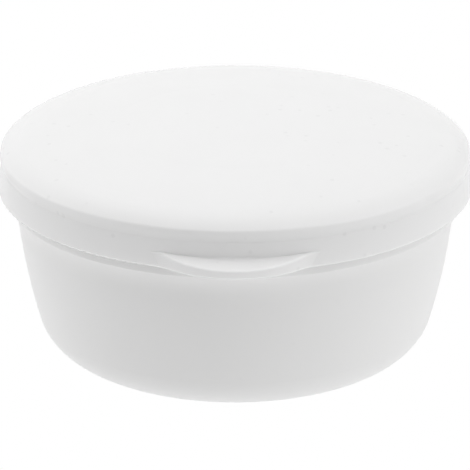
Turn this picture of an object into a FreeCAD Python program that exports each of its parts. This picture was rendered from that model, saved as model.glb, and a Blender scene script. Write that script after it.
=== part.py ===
import FreeCAD, Part
import math
import os

# A covered soap dish of moulded plastic: a round bowl, a lid whose band overhangs the bowl, with a crescent
# thumb tab at the front, and a slotted drainer that stands inside the bowl. Millimetres, +Z up. The origin is
# on the bowl's axis, on the plane of its foot. The thumb tab points along -Y.

# Bowl
foot_radius = 35.6
bottom_corner_radius = 11.0
lower_side_lean = 15.2
rim_lean = 0.0
rim_height = 47.5
bowl_wall = 2.0
foot_ring_width = 3.5
foot_recess_depth = 0.5
rim_edge_round = 0.5
collar_reach = 1.4
collar_drop = 11.0
collar_edge_round = 0.25
cove_round = 12.0

# Lid
lid_wall = 1.4
lid_side_clearance = 0.25
band_drop = 8.55
band_flare = 0.5
band_edge_round = 0.4
waist_round = 0.55
shoulder_undercut_angle = 18.0
shoulder_round = 3.6
shoulder_drop = 0.65
shoulder_slope = 72.0
edge_width = 0.46
edge_slope = 42.0
brow_width = 4.5
brow_slope = 15.0
fall_width = 4.0
fall_slope = 7.2
dome_width = 18.0
dome_slope = 2.4
plug_ring_depth = 3.2
plug_ring_wall = 1.4

# Thumb tab
tab_reach = 4.5
tab_half_width = 16.0
tab_blend_round = 16.0
tab_root_thickness = 3.0
tab_tip_thickness = 2.0
tab_root_round = 1.1
tab_edge_round = 0.5
tab_root_bite_share = 0.03
tab_root_end_share = 0.85

# Drainer
drip_depth = 6.0
drainer_thickness = 1.8
drainer_side_clearance = 0.8
drainer_lip_height = 1.2
drainer_lip_width = 1.6
finger_hole_radius = 8.0
slot_count = 12
slot_width = 3.4
slot_inner_radius = 14.0
slot_edge_margin = 5.0
rib_width = 1.6
rib_height = 1.0
rib_end_margin = 2.0
drainer_foot_count = 4
drainer_foot_radius = 2.6
drainer_foot_inset = 13.0

AXIS = FreeCAD.Vector(0, 0, 1)
CENTRE = FreeCAD.Vector(0, 0, 0)


def section_point(radius, height):
    """A point of a section, which lies in the XZ plane."""
    return FreeCAD.Vector(radius, 0, height)


def direction(angle):
    """The unit vector of a section at an angle above the outward level, in degrees."""
    return FreeCAD.Vector(math.cos(math.radians(angle)), 0, math.sin(math.radians(angle)))


def on_circle(centre, radius, angle):
    """The point of a section's circle at an angle above the outward level, in degrees."""
    return centre + direction(angle) * radius


def bearing_between(side_one, side_two, opposite):
    """The angle, in degrees, between two sides of a triangle with all three lengths given."""
    cosine = (side_one**2 + side_two**2 - opposite**2) / (2 * side_one * side_two)
    return math.degrees(math.acos(cosine))


def line(start, end):
    return Part.LineSegment(start, end).toShape()


def arc(centre, radius, start_angle, end_angle):
    """An arc of a section between two angles, in degrees."""
    middle_angle = (start_angle + end_angle) / 2
    ends = [on_circle(centre, radius, angle) for angle in (start_angle, middle_angle, end_angle)]
    return Part.Arc(*ends).toShape()


def turned(edges):
    """The solid that a closed section makes when it is turned about the axis."""
    face = Part.Face(Part.Wire(edges))
    solid = face.revolve(CENTRE, AXIS, 360)
    return solid if solid.Volume > 0 else solid.reversed()


def joined(edges):
    """Adds a straight edge wherever one edge of a chain ends away from the next one's start."""
    chain = []
    for index, edge in enumerate(edges):
        chain.append(edge)
        end = edge.valueAt(edge.LastParameter)
        following = edges[(index + 1) % len(edges)]
        start = following.valueAt(following.FirstParameter)
        if end.distanceToPoint(start) > 1e-6:
            chain.append(line(end, start))
    return chain


# Bowl wall: a flat foot, a large bottom corner and a side that is one long arc. The inner face is the same chain
# of arcs up to the rim, one wall further in. Outside, the side turns through a hollow cove to an upright collar,
# which the lid's band goes over.
corner_centre = section_point(foot_radius, bottom_corner_radius)
side_start = on_circle(corner_centre, bottom_corner_radius, -lower_side_lean)
lean_span = math.sin(math.radians(lower_side_lean)) - math.sin(math.radians(rim_lean))
side_radius = (rim_height - side_start.z) / lean_span
side_centre = side_start - direction(-lower_side_lean) * side_radius
rim_outer_radius = on_circle(side_centre, side_radius, -rim_lean).x
rim_inner_radius = rim_outer_radius - bowl_wall
collar_radius = rim_outer_radius + collar_reach
collar_foot = section_point(collar_radius, rim_height - collar_drop)
to_collar_foot = collar_foot - side_centre
to_cove_centre = side_radius + cove_round
cove_turn = bearing_between(to_collar_foot.Length, to_cove_centre, cove_round)
cove_angle = math.degrees(math.atan2(to_collar_foot.z, to_collar_foot.x)) - cove_turn
cove_centre = on_circle(side_centre, to_cove_centre, cove_angle)
cove_end = collar_foot - cove_centre
cove_end_angle = math.degrees(math.atan2(cove_end.z, cove_end.x))


def bowl_inner_radius_at(height):
    """The radius of the bowl's inner face at a height."""
    inner_side_start = on_circle(corner_centre, bottom_corner_radius - bowl_wall, -lower_side_lean)
    if height < inner_side_start.z:
        drop = bottom_corner_radius - height
        return foot_radius + math.sqrt((bottom_corner_radius - bowl_wall) ** 2 - drop**2)
    drop = side_centre.z - height
    return side_centre.x + math.sqrt((side_radius - bowl_wall) ** 2 - drop**2)


def is_collar_foot(edge):
    """Whether an edge of the bowl is the circle where the cove meets the collar."""
    middle = edge.valueAt((edge.FirstParameter + edge.LastParameter) / 2)
    at_height = abs(middle.z - collar_foot.z) < 1e-6
    return at_height and abs(math.hypot(middle.x, middle.y) - collar_radius) < 1e-6


def make_bowl():
    inner_side_radius = side_radius - bowl_wall
    inner_rim_drop = side_centre.z - rim_height + rim_edge_round
    inner_rim_angle = -math.degrees(math.asin(inner_rim_drop / inner_side_radius))
    inner_rim = on_circle(side_centre, inner_side_radius, inner_rim_angle)
    outer_round_centre = section_point(collar_radius - rim_edge_round, rim_height - rim_edge_round)
    inner_round_centre = section_point(inner_rim.x + rim_edge_round, rim_height - rim_edge_round)
    edges = [
        line(section_point(0, 0), section_point(foot_radius, 0)),
        arc(corner_centre, bottom_corner_radius, -90, -lower_side_lean),
        arc(side_centre, side_radius, -lower_side_lean, cove_angle),
        arc(cove_centre, cove_round, 180 + cove_angle, cove_end_angle),
        arc(outer_round_centre, rim_edge_round, 0, 90),
        arc(inner_round_centre, rim_edge_round, 90, 180),
        arc(side_centre, inner_side_radius, inner_rim_angle, -lower_side_lean),
        arc(corner_centre, bottom_corner_radius - bowl_wall, -lower_side_lean, -90),
        line(section_point(foot_radius, bowl_wall), section_point(0, bowl_wall)),
    ]
    bowl = turned(joined(edges))
    bowl = bowl.makeFillet(collar_edge_round, [edge for edge in bowl.Edges if is_collar_foot(edge)])
    recess_radius = foot_radius - foot_ring_width
    recess = Part.makeCone(recess_radius, recess_radius - foot_recess_depth, foot_recess_depth)
    return bowl.cut(recess)


# Lid sizes that follow the bowl: the seat rests on the rim, the band clears the collar, and the plug ring clears
# the bowl's inner face.
seat_height = rim_height
band_inner_top_radius = collar_radius + lid_side_clearance
plug_outer_radius = rim_inner_radius - lid_side_clearance
plug_inner_radius = plug_outer_radius - plug_ring_wall
shoulder_radius_out = band_inner_top_radius + lid_wall
band_edge_radius = shoulder_radius_out + band_flare
band_edge_height = rim_height - band_drop

# Lid section: a shallow dome that steepens outward in four arcs to a tight edge, a shoulder below the edge that
# rolls in under itself to a waist, and a band that runs outward to its lower edge.
shoulder_centre = section_point(shoulder_radius_out - shoulder_round, rim_height - shoulder_drop)
edge_start_radius = shoulder_radius_out - edge_width
brow_start_radius = shoulder_radius_out - brow_width
fall_start_radius = brow_start_radius - fall_width
dome_start_radius = fall_start_radius - dome_width
undercut_end = on_circle(shoulder_centre, shoulder_round, -shoulder_undercut_angle)
waist_centre = undercut_end + direction(-shoulder_undercut_angle) * waist_round
band_bottom = section_point(band_edge_radius, band_edge_height + band_edge_round)


def tangent_from(point, centre, radius):
    """The angle on a circle, on its axis side, where a line from a point below it just touches it."""
    offset = point - centre
    reach = math.hypot(offset.x, offset.z)
    bearing = math.degrees(math.atan2(offset.z, offset.x))
    return (bearing - math.degrees(math.acos(radius / reach))) % 360


band_top_angle = tangent_from(band_bottom, waist_centre, waist_round)
band_top = on_circle(waist_centre, waist_round, band_top_angle)


def band_outer_radius_at(height):
    """The radius of the band's outer face at a height between its lower edge and its waist."""
    share = (height - band_bottom.z) / (band_top.z - band_bottom.z)
    return band_bottom.x + (band_top.x - band_bottom.x) * share


def make_top_arcs():
    """The arcs of the lid's top from the shoulder to the axis: centre, radius and the angles of both ends."""
    starts = [
        (edge_start_radius, edge_slope),
        (brow_start_radius, brow_slope),
        (fall_start_radius, fall_slope),
        (dome_start_radius, dome_slope),
        (0, 0),
    ]
    end_angle = 90 - shoulder_slope
    end = on_circle(shoulder_centre, shoulder_round, end_angle)
    arcs = []
    for start_radius, start_slope in starts:
        start_angle = 90 - start_slope
        radius = (end.x - start_radius) / (direction(end_angle).x - direction(start_angle).x)
        centre = end - direction(end_angle) * radius
        arcs.append((centre, radius, start_angle, end_angle))
        end = on_circle(centre, radius, start_angle)
        end_angle = start_angle
    return arcs


def make_lid_shell():
    plug_round = plug_ring_wall / 2
    plug_round_height = seat_height - plug_ring_depth + plug_round
    plug_round_centre = section_point(plug_outer_radius - plug_round, plug_round_height)
    band_inner_bottom = section_point(band_edge_radius - lid_wall, band_edge_height)
    band_inner_top = section_point(band_inner_top_radius, seat_height)
    top_arcs = make_top_arcs()
    top = [arc(centre, radius, start, end) for centre, radius, start, end in reversed(top_arcs)]
    underside = []
    for centre, radius, start, end in top_arcs:
        inner_radius = radius - lid_wall
        # The underside starts at the plug ring, so an arc that lies all outside the ring has no part in it.
        if on_circle(centre, inner_radius, start).x < plug_inner_radius:
            meets_plug = math.degrees(math.acos((plug_inner_radius - centre.x) / inner_radius))
            underside.append(arc(centre, inner_radius, max(end, meets_plug), start))
    edges = top + [
        arc(shoulder_centre, shoulder_round, 90 - shoulder_slope, -shoulder_undercut_angle),
        arc(waist_centre, waist_round, 180 - shoulder_undercut_angle, band_top_angle),
        arc(band_bottom - section_point(band_edge_round, 0), band_edge_round, 0, -90),
        line(band_inner_bottom, band_inner_top),
        line(band_inner_top, section_point(plug_outer_radius, seat_height)),
        arc(plug_round_centre, plug_round, 0, -180),
    ]
    return turned(joined(edges + underside))


def plan_point(radius, bearing):
    """A point in plan, at a bearing in degrees from the tab's centre line, which runs along -Y."""
    turn = math.radians(bearing)
    return FreeCAD.Vector(radius * math.sin(turn), -radius * math.cos(turn), 0)


# Thumb tab in plan: one wide arc, with a hollow round into the band at each end. The hollow round touches the
# wide arc and a circle that runs inside the band's wall.
tip_radius = band_edge_radius + tab_reach
chord_distance = math.sqrt(band_edge_radius**2 - tab_half_width**2)
tab_arc_offset = (tip_radius**2 - band_edge_radius**2) / (2 * (tip_radius - chord_distance))
tab_arc_radius = tip_radius - tab_arc_offset
tab_shelf_slope = (tab_root_thickness - tab_tip_thickness) / tab_reach
band_middle_radius = band_edge_radius - lid_wall * 0.25
band_core_radius = band_edge_radius - lid_wall * 0.75


def shelf_height_at(distance):
    """The height of the tab's shelf at a distance in front of the axis."""
    return band_edge_height + tab_tip_thickness + (tip_radius - distance) * tab_shelf_slope


def make_tab_outline():
    to_blend_centre = band_middle_radius + tab_blend_round
    blend_bearing = bearing_between(to_blend_centre, tab_arc_offset, tab_arc_radius + tab_blend_round)
    arc_centre = plan_point(tab_arc_offset, 0)
    ends = []
    for bearing in (blend_bearing, -blend_bearing):
        blend_centre = plan_point(to_blend_centre, bearing)
        on_band = plan_point(band_middle_radius, bearing)
        on_arc = arc_centre + (blend_centre - arc_centre).normalize() * tab_arc_radius
        middle = blend_centre + ((on_band + on_arc) / 2 - blend_centre).normalize() * tab_blend_round
        ends.append((plan_point(band_core_radius, bearing), on_band, middle, on_arc))
    right, left = ends
    edges = [
        line(right[0], right[1]),
        Part.Arc(right[1], right[2], right[3]).toShape(),
        Part.Arc(right[3], plan_point(tip_radius, 0), left[3]).toShape(),
        Part.Arc(left[3], left[2], left[1]).toShape(),
        line(left[1], left[0]),
        Part.Arc(left[0], plan_point(band_core_radius, 0), right[0]).toShape(),
    ]
    return Part.Face(Part.Wire(edges))


def is_tab_rim(edge):
    """Whether an edge of the tab's block runs along its outline, clear of the band's wall."""
    span = edge.LastParameter - edge.FirstParameter
    points = [edge.valueAt(edge.FirstParameter + span * share) for share in (0.1, 0.5, 0.9)]
    level = abs(points[0].z - points[2].z) < tab_tip_thickness / 2
    return level and all(math.hypot(point.x, point.y) > band_middle_radius - 0.01 for point in points)


def make_tab():
    outline = make_tab_outline()
    outline.translate(FreeCAD.Vector(0, 0, band_edge_height))
    high = shelf_height_at(0) + tab_reach
    block = outline.extrude(AXIS * (high - band_edge_height))
    far = tip_radius + tab_reach
    above_shelf = [
        FreeCAD.Vector(-far, -far, shelf_height_at(far)),
        FreeCAD.Vector(-far, 0, shelf_height_at(0)),
        FreeCAD.Vector(-far, 0, high),
        FreeCAD.Vector(-far, -far, high),
    ]
    above_shelf.append(above_shelf[0])
    cutter = Part.Face(Part.makePolygon(above_shelf)).extrude(FreeCAD.Vector(2 * far, 0, 0))
    block = block.cut(cutter)
    rim_round = min(tab_edge_round, tab_tip_thickness * 0.4, lid_wall * 0.4)
    return block.makeFillet(rim_round, [edge for edge in block.Edges if is_tab_rim(edge)])


def make_tab_root():
    """The hollow round between the shelf and the band, which fades out towards the tab's ends."""
    bite = tab_root_round * tab_root_bite_share
    root_height = shelf_height_at(band_edge_radius)
    wall_radius = band_outer_radius_at(root_height + tab_root_round)
    tube_radius_at_front = wall_radius + tab_root_round - bite
    tube_rise = tab_root_round * math.hypot(1, tab_shelf_slope) - bite
    tube_height = shelf_height_at(tube_radius_at_front) + tube_rise
    block_radius = wall_radius + tab_root_round
    half_bearing = bearing_between(block_radius + tab_edge_round, tab_arc_offset, tab_arc_radius)
    # At the ends the round's tube has sunk into the corner so far that it leaves nothing there.
    end_rise = tube_height - shelf_height_at(wall_radius * math.cos(math.radians(half_bearing)))
    end_reach = wall_radius + math.sqrt(tab_root_round**2 - end_rise**2) * tab_root_end_share
    end_point = plan_point(end_reach, half_bearing)
    front = tube_radius_at_front
    tube_offset = (front**2 - end_point.x**2 - end_point.y**2) / (2 * (front + end_point.y))
    tube_circle_radius = front - tube_offset
    tube_centre = plan_point(tube_offset, 0) + AXIS * tube_height
    torus = Part.makeTorus(tube_circle_radius, tab_root_round, tube_centre)
    section = [
        section_point(band_middle_radius, band_edge_height + tab_tip_thickness / 2),
        section_point(block_radius, band_edge_height + tab_tip_thickness / 2),
        section_point(block_radius, tube_height),
        section_point(band_middle_radius, tube_height),
    ]
    section.append(section[0])
    face = Part.Face(Part.makePolygon(section))
    face.rotate(CENTRE, AXIS, -90 - half_bearing)
    return face.revolve(CENTRE, AXIS, 2 * half_bearing).cut(torus)


def make_lid():
    lid = make_lid_shell().fuse([make_tab(), make_tab_root()])
    return lid.removeSplitter()


# Drainer: a round plate with a raised lip, slots that point at the finger hole, a low rib between each two
# slots, and feet that stand on the bowl's floor.
drainer_underside = bowl_wall + drip_depth
drainer_top = drainer_underside + drainer_thickness
drainer_radius = bowl_inner_radius_at(drainer_underside) - drainer_side_clearance
drainer_foot_circle = drainer_radius - drainer_foot_inset
slot_outer_radius = drainer_radius - slot_edge_margin
rib_inner_radius = slot_inner_radius + rib_end_margin
rib_outer_radius = drainer_radius - drainer_lip_width - rib_end_margin


def spoke(inner_radius, outer_radius, width, low, high, bearing):
    """An upright bar with round ends along a radius, at a bearing in degrees."""
    half = width / 2
    start = inner_radius + half
    end = outer_radius - half
    right_start = FreeCAD.Vector(start, -half, low)
    right_end = FreeCAD.Vector(end, -half, low)
    outer = FreeCAD.Vector(outer_radius, 0, low)
    left_end = FreeCAD.Vector(end, half, low)
    left_start = FreeCAD.Vector(start, half, low)
    inner = FreeCAD.Vector(inner_radius, 0, low)
    edges = [
        line(right_start, right_end),
        Part.Arc(right_end, outer, left_end).toShape(),
        line(left_end, left_start),
        Part.Arc(left_start, inner, right_start).toShape(),
    ]
    bar = Part.Face(Part.Wire(edges)).extrude(AXIS * (high - low))
    bar.rotate(CENTRE, AXIS, bearing)
    return bar


def make_drain_insert():
    plate = Part.makeCylinder(drainer_radius, drainer_thickness, AXIS * drainer_underside)
    lip = Part.makeCylinder(drainer_radius, drainer_lip_height, AXIS * drainer_top)
    lip_inner_radius = drainer_radius - drainer_lip_width
    lip = lip.cut(Part.makeCylinder(lip_inner_radius, drainer_lip_height, AXIS * drainer_top))
    rib_top = drainer_top + rib_height
    step = 360 / slot_count
    raised = [lip]
    for index in range(slot_count):
        bearing = (index + 0.5) * step
        raised.append(spoke(rib_inner_radius, rib_outer_radius, rib_width, drainer_top, rib_top, bearing))
    for index in range(drainer_foot_count):
        bearing = math.radians((round(index * slot_count / drainer_foot_count) + 0.5) * step)
        outward = FreeCAD.Vector(math.cos(bearing), math.sin(bearing), 0)
        place = outward * drainer_foot_circle + AXIS * bowl_wall
        raised.append(Part.makeCylinder(drainer_foot_radius, drip_depth, place))
    openings = [Part.makeCylinder(finger_hole_radius, drainer_thickness, AXIS * drainer_underside)]
    for index in range(slot_count):
        bearing = index * step
        slot = spoke(slot_inner_radius, slot_outer_radius, slot_width, drainer_underside, drainer_top, bearing)
        openings.append(slot)
    return plate.cut(openings).fuse(raised).removeSplitter()


os.makedirs("parts", exist_ok=True)
for node, make in {"bowl": make_bowl, "lid": make_lid, "drain_insert": make_drain_insert}.items():
    make().exportStep("parts/" + node + ".step")
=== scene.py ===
"""A round covered soap dish of milky moulded plastic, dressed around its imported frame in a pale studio."""

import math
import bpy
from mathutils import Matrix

bl_info = {
    "name": "Covered soap dish",
    "version": (1, 0, 0),
    "blender": (4, 5, 0),
    "location": "View3D > Sidebar > Soap dish",
    "description": "Finishes the soap dish's bowl, lid and drainer, and sets up its studio",
    "category": "Object",
}

import bpy
from mathutils import Vector

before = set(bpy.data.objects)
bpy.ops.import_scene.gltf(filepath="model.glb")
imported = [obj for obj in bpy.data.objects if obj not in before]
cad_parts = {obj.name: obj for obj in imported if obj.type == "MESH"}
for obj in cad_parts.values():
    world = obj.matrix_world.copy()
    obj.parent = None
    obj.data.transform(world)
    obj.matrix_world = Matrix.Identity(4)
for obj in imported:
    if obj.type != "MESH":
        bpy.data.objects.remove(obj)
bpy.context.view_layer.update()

MILLIMETRE = 0.001
WHITE = (1.0, 1.0, 1.0, 1.0)

# The plastic's patterns, in waves or cells per metre.
MOTTLE_PER_METRE = 60.0
GRAIN_PER_METRE = 1800.0
FLECKS_PER_METRE = 260.0
FLECK_PATCHES_PER_METRE = 22.0
# A fleck is full within the first share of its cell and gone at the second. Flecks come in patches, which open
# between two levels of a noise.
FLECK_REACH = (0.08, 0.18)
FLECK_PATCH_EDGE = (0.42, 0.52)
# The mottle's darkest share of the colour, and how far it spreads the roughness.
MOTTLE_SHADE = 0.985
MOTTLE_ROUGHNESS = 0.06
GRAIN_STRENGTH = 0.05
GRAIN_HEIGHT = 0.05 * MILLIMETRE
PLASTIC_IOR = 1.49

FLOOR_REACH = 4.0
SENSOR_WIDTH = 36.0
# The picture's shift to the side and down, as shares of its width.
LENS_SHIFT = (-0.2 / 470, -9.0 / 470)


class Socket:
    """A shader socket that takes part in plain arithmetic: each operator adds its own Math node."""

    def __init__(self, shader, source):
        self.shader = shader
        self.source = source

    def combined(self, operation, first, second):
        return self.shader.node("ShaderNodeMath", {"operation": operation}, {0: first, 1: second})

    def __add__(self, other):
        return self.combined("ADD", self, other)

    def __radd__(self, other):
        return self.combined("ADD", other, self)

    def __sub__(self, other):
        return self.combined("SUBTRACT", self, other)

    def __rsub__(self, other):
        return self.combined("SUBTRACT", other, self)

    def __mul__(self, other):
        return self.combined("MULTIPLY", self, other)

    def __rmul__(self, other):
        return self.combined("MULTIPLY", other, self)

    def __pow__(self, other):
        return self.combined("POWER", self, other)

    def at_least(self, floor):
        return self.combined("MAXIMUM", self, floor)


class Shader:
    """Builds one node tree."""

    def __init__(self, owner):
        owner.use_nodes = True
        self.tree = owner.node_tree
        self.tree.nodes.clear()

    def node(self, kind, settings=None, inputs=None, output=0):
        """Adds a node, sets its settings, then its sockets' values or links, and returns an output."""
        made = self.tree.nodes.new(kind)
        for name, value in (settings or {}).items():
            setattr(made, name, value)
        for name, value in (inputs or {}).items():
            if isinstance(value, Socket):
                self.tree.links.new(value.source, made.inputs[name])
            else:
                made.inputs[name].default_value = value
        return Socket(self, made.outputs[output]) if made.outputs else None

    def noise(self, place, scale, detail=2.0):
        """A noise pattern of a given number of waves per metre, from 0 to 1."""
        return self.node("ShaderNodeTexNoise", None, {"Vector": place, "Scale": scale, "Detail": detail})

    def mixed(self, factor, first, second):
        """A colour between two others."""
        inputs = {"Factor": factor, "A": first, "B": second}
        return self.node("ShaderNodeMix", {"data_type": "RGBA"}, inputs, "Result")

    def ramped(self, value, low, high):
        """A value eased from 0 at low to 1 at high."""
        inputs = {"Value": value, "From Min": low, "From Max": high}
        return self.node("ShaderNodeMapRange", {"interpolation_type": "SMOOTHSTEP"}, inputs)


class DishFinish(bpy.types.PropertyGroup):
    """Colours and finish of the soap dish's plastic."""

    bowl_colour: bpy.props.FloatVectorProperty(
        name="Bowl colour", description="Colour of the bowl's milky plastic", subtype="COLOR", size=4,
        min=0.0, max=1.0, default=(0.861, 0.86, 0.858, 1.0),
    )
    lid_colour: bpy.props.FloatVectorProperty(
        name="Lid colour", description="Colour of the lid's milky plastic", subtype="COLOR", size=4,
        min=0.0, max=1.0, default=(0.871, 0.87, 0.87, 1.0),
    )
    drainer_colour: bpy.props.FloatVectorProperty(
        name="Drainer colour", description="Colour of the drainer's plastic", subtype="COLOR", size=4,
        min=0.0, max=1.0, default=(0.861, 0.86, 0.858, 1.0),
    )
    bowl_roughness: bpy.props.FloatProperty(
        name="Bowl roughness", description="Roughness of the bowl's satin surface", default=0.42,
        min=0.0, max=1.0, subtype="FACTOR",
    )
    lid_roughness: bpy.props.FloatProperty(
        name="Lid roughness", description="Roughness of the lid's smoother surface", default=0.22,
        min=0.0, max=1.0, subtype="FACTOR",
    )
    bowl_flecks: bpy.props.FloatProperty(
        name="Bowl flecks", description="How much darker the bowl's flecks are", default=0.015,
        min=0.0, max=1.0, subtype="FACTOR",
    )
    lid_flecks: bpy.props.FloatProperty(
        name="Lid flecks", description="How much darker the lid's flecks are", default=0.06,
        min=0.0, max=1.0, subtype="FACTOR",
    )
    glow_weight: bpy.props.FloatProperty(
        name="Glow weight", description="Share of the light that scatters inside the plastic", default=1.0,
        min=0.0, max=1.0, subtype="FACTOR",
    )
    glow_depth: bpy.props.FloatProperty(
        name="Glow depth", description="How deep light scatters into the plastic", default=0.001,
        min=0.0, max=0.02, unit="LENGTH",
    )


class DishStage(bpy.types.PropertyGroup):
    """Camera, floor and lights around the soap dish."""

    camera_distance: bpy.props.FloatProperty(
        name="Camera distance", description="Distance from the camera to the dish", default=0.8,
        unit="LENGTH",
    )
    camera_elevation: bpy.props.FloatProperty(
        name="Camera elevation", description="Angle at which the camera looks down",
        default=math.radians(21.64), subtype="ANGLE",
    )
    lens: bpy.props.FloatProperty(
        name="Lens", description="Focal length of the camera", default=261.65, unit="CAMERA",
    )
    aim_height: bpy.props.FloatProperty(
        name="Aim height", description="Height on the dish's axis that the camera points at", default=0.028,
        unit="LENGTH",
    )
    floor_glow: bpy.props.FloatProperty(
        name="Floor glow", description="Light that the pale floor gives the dish", default=0.905, min=0.0,
    )
    sky_strength: bpy.props.FloatProperty(
        name="Sky strength", description="Even light from all round", default=0.94, min=0.0,
    )


def darker(colour, share):
    """A colour with only a share of its light."""
    return [value * share for value in colour[:3]] + [1.0]


def plastic(name, colour, roughness, fleck_depth, settings):
    """Milky moulded plastic: light scatters under a satin skin with a faint mottle, flecks and fine grain."""
    material = bpy.data.materials.new(name)
    shader = Shader(material)
    place = shader.node("ShaderNodeTexCoord", None, None, "Object")
    cloud = shader.noise(place, MOTTLE_PER_METRE, detail=3.0)
    grain = shader.noise(place, GRAIN_PER_METRE)
    shade = shader.mixed(cloud, darker(colour, MOTTLE_SHADE), list(colour))
    cells = {"Vector": place, "Scale": FLECKS_PER_METRE}
    to_fleck = shader.node("ShaderNodeTexVoronoi", None, cells, "Distance")
    patches = shader.ramped(shader.noise(place, FLECK_PATCHES_PER_METRE), *FLECK_PATCH_EDGE)
    flecks = (1.0 - shader.ramped(to_fleck, *FLECK_REACH)) * patches
    shade = shader.mixed(flecks, shade, darker(colour, 1.0 - fleck_depth))
    rough = cloud * MOTTLE_ROUGHNESS + (roughness - MOTTLE_ROUGHNESS / 2)
    ripple = {"Strength": GRAIN_STRENGTH, "Distance": GRAIN_HEIGHT, "Height": grain}
    bump = shader.node("ShaderNodeBump", None, ripple)
    surface = shader.node(
        "ShaderNodeBsdfPrincipled",
        {"subsurface_method": "RANDOM_WALK"},
        {
            "Base Color": shade,
            "Roughness": rough,
            "IOR": PLASTIC_IOR,
            "Subsurface Weight": settings.glow_weight,
            "Subsurface Radius": (1.0, 1.0, 1.0),
            "Subsurface Scale": settings.glow_depth,
            "Normal": bump,
        },
    )
    shader.node("ShaderNodeOutputMaterial", None, {"Surface": surface})
    return material


def dress(node, material):
    """Gives a CAD node its material."""
    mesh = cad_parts[node].data
    mesh.materials.clear()
    mesh.materials.append(material)


class SOAPDISH_OT_finish_bowl(bpy.types.Operator):
    """Gives the bowl its milky satin plastic"""

    bl_idname = "soapdish.finish_bowl"
    bl_label = "Finish bowl"

    def execute(self, context):
        finish = context.scene.dish_finish
        material = plastic(
            "bowl_plastic_finish", finish.bowl_colour, finish.bowl_roughness, finish.bowl_flecks, finish
        )
        dress("bowl", material)
        return {"FINISHED"}


class SOAPDISH_OT_finish_lid(bpy.types.Operator):
    """Gives the lid its smoother milky plastic"""

    bl_idname = "soapdish.finish_lid"
    bl_label = "Finish lid"

    def execute(self, context):
        finish = context.scene.dish_finish
        material = plastic(
            "lid_plastic_finish", finish.lid_colour, finish.lid_roughness, finish.lid_flecks, finish
        )
        dress("lid", material)
        return {"FINISHED"}


class SOAPDISH_OT_finish_drainer(bpy.types.Operator):
    """Gives the drainer its plastic"""

    bl_idname = "soapdish.finish_drainer"
    bl_label = "Finish drainer"

    def execute(self, context):
        finish = context.scene.dish_finish
        material = plastic(
            "drainer_plastic_finish", finish.drainer_colour, finish.bowl_roughness, finish.bowl_flecks, finish
        )
        dress("drain_insert", material)
        return {"FINISHED"}


# The studio's light tent is brighter or darker round these directions: the bearing in degrees, with 0 in front
# of the thumb tab and 90 to the right, the height angle, the light added there and how tight the spot is.
TENT_LIGHTS = (
    (-40.0, 10.0, -0.79, 4.0),
    (-90.0, 10.0, 0.62, 4.0),
    (-60.0, 35.0, -0.53, 6.0),
    (20.0, 35.0, -0.95, 6.0),
    (60.0, 35.0, 0.6, 6.0),
    (120.0, 20.0, -0.45, 3.0),
    (-90.0, 60.0, 0.57, 4.0),
    (90.0, 60.0, 0.49, 4.0),
    (80.0, 18.0, 0.34, 40.0),
)


def towards(bearing, height_angle):
    """The unit vector at a bearing from the tab and at an angle above the level, both in degrees."""
    side = math.radians(bearing)
    rise = math.radians(height_angle)
    return Vector((math.sin(side) * math.cos(rise), -math.cos(side) * math.cos(rise), math.sin(rise)))


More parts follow.
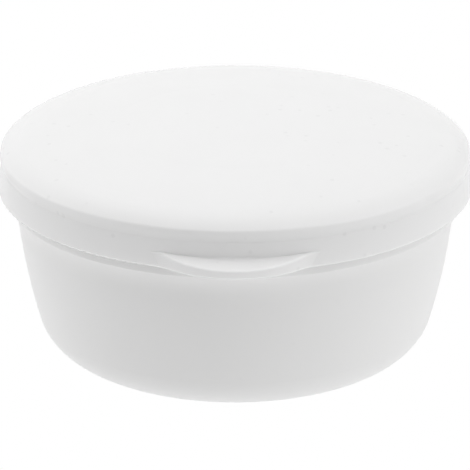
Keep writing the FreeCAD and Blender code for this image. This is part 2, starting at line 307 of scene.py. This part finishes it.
class SOAPDISH_OT_build_stage(bpy.types.Operator):
    """Lays the floor, sets the lights and places the camera"""

    bl_idname = "soapdish.build_stage"
    bl_label = "Build stage"

    def execute(self, context):
        stage = context.scene.dish_stage
        self.lay_floor(context, stage)
        self.light_sky(context, stage)
        self.place_camera(context, stage)
        context.scene.view_settings.view_transform = "Standard"
        return {"FINISHED"}

    def white_to_camera(self, shader, light):
        """Plain white where the camera looks straight at it, and a given light on the dish."""
        seen = shader.node("ShaderNodeLightPath", None, None, "Is Camera Ray")
        return seen + (1.0 - seen) * light

    def lay_floor(self, context, stage):
        """The floor looks white to the camera, and gives the dish a softer light."""
        mesh = bpy.data.meshes.new("floor")
        corners = [(x * FLOOR_REACH, y * FLOOR_REACH, 0) for x, y in ((-1, -1), (1, -1), (1, 1), (-1, 1))]
        mesh.from_pydata(corners, [], [(0, 1, 2, 3)])
        floor = bpy.data.objects.new("floor", mesh)
        context.scene.collection.objects.link(floor)
        material = bpy.data.materials.new("pale_floor")
        shader = Shader(material)
        strength = self.white_to_camera(shader, stage.floor_glow)
        surface = shader.node("ShaderNodeEmission", None, {"Color": WHITE, "Strength": strength})
        shader.node("ShaderNodeOutputMaterial", None, {"Surface": surface})
        mesh.materials.append(material)

    def light_sky(self, context, stage):
        """The sky looks white to the camera, and lights the dish as the tent does."""
        world = bpy.data.worlds.new("studio")
        shader = Shader(world)
        direction = shader.node("ShaderNodeTexCoord", None, None, "Generated")
        light = stage.sky_strength
        for bearing, height_angle, added, tightness in TENT_LIGHTS:
            centre = towards(bearing, height_angle)
            settings = {"operation": "DOT_PRODUCT"}
            facing = shader.node("ShaderNodeVectorMath", settings, {0: direction, 1: centre}, "Value")
            light = facing.at_least(0.0) ** tightness * added + light
        strength = self.white_to_camera(shader, light.at_least(0.0))
        background = shader.node("ShaderNodeBackground", None, {"Color": WHITE, "Strength": strength})
        shader.node("ShaderNodeOutputWorld", None, {"Surface": background})
        context.scene.world = world

    def place_camera(self, context, stage):
        """The camera stands in front of the tab and looks down at the dish."""
        lens = bpy.data.cameras.new("camera")
        lens.lens = stage.lens
        lens.sensor_width = SENSOR_WIDTH
        lens.shift_x, lens.shift_y = LENS_SHIFT
        camera = bpy.data.objects.new("camera", lens)
        back = math.cos(stage.camera_elevation) * stage.camera_distance
        rise = math.sin(stage.camera_elevation) * stage.camera_distance
        camera.location = (0.0, -back, stage.aim_height + rise)
        camera.rotation_euler = (math.pi / 2 - stage.camera_elevation, 0.0, 0.0)
        context.scene.collection.objects.link(camera)
        context.scene.camera = camera


class SOAPDISH_PT_panel(bpy.types.Panel):
    """Lists the soap dish's settings and steps"""

    bl_label = "Soap dish"
    bl_idname = "SOAPDISH_PT_panel"
    bl_space_type = "VIEW_3D"
    bl_region_type = "UI"
    bl_category = "Soap dish"

    def draw(self, context):
        layout = self.layout
        for group in (context.scene.dish_finish, context.scene.dish_stage):
            for name in group.__annotations__:
                layout.prop(group, name)
        for step in STEPS:
            layout.operator(step.bl_idname)


STEPS = (
    SOAPDISH_OT_finish_bowl,
    SOAPDISH_OT_finish_lid,
    SOAPDISH_OT_finish_drainer,
    SOAPDISH_OT_build_stage,
)
CLASSES = (DishFinish, DishStage, *STEPS, SOAPDISH_PT_panel)


def register():
    for kind in CLASSES:
        bpy.utils.register_class(kind)
    bpy.types.Scene.dish_finish = bpy.props.PointerProperty(type=DishFinish)
    bpy.types.Scene.dish_stage = bpy.props.PointerProperty(type=DishStage)


def unregister():
    del bpy.types.Scene.dish_finish
    del bpy.types.Scene.dish_stage
    for kind in reversed(CLASSES):
        bpy.utils.unregister_class(kind)


def main():
    register()
    bpy.ops.soapdish.finish_bowl()
    bpy.ops.soapdish.finish_lid()
    bpy.ops.soapdish.finish_drainer()
    bpy.ops.soapdish.build_stage()


if __name__ == "__main__":
    main()
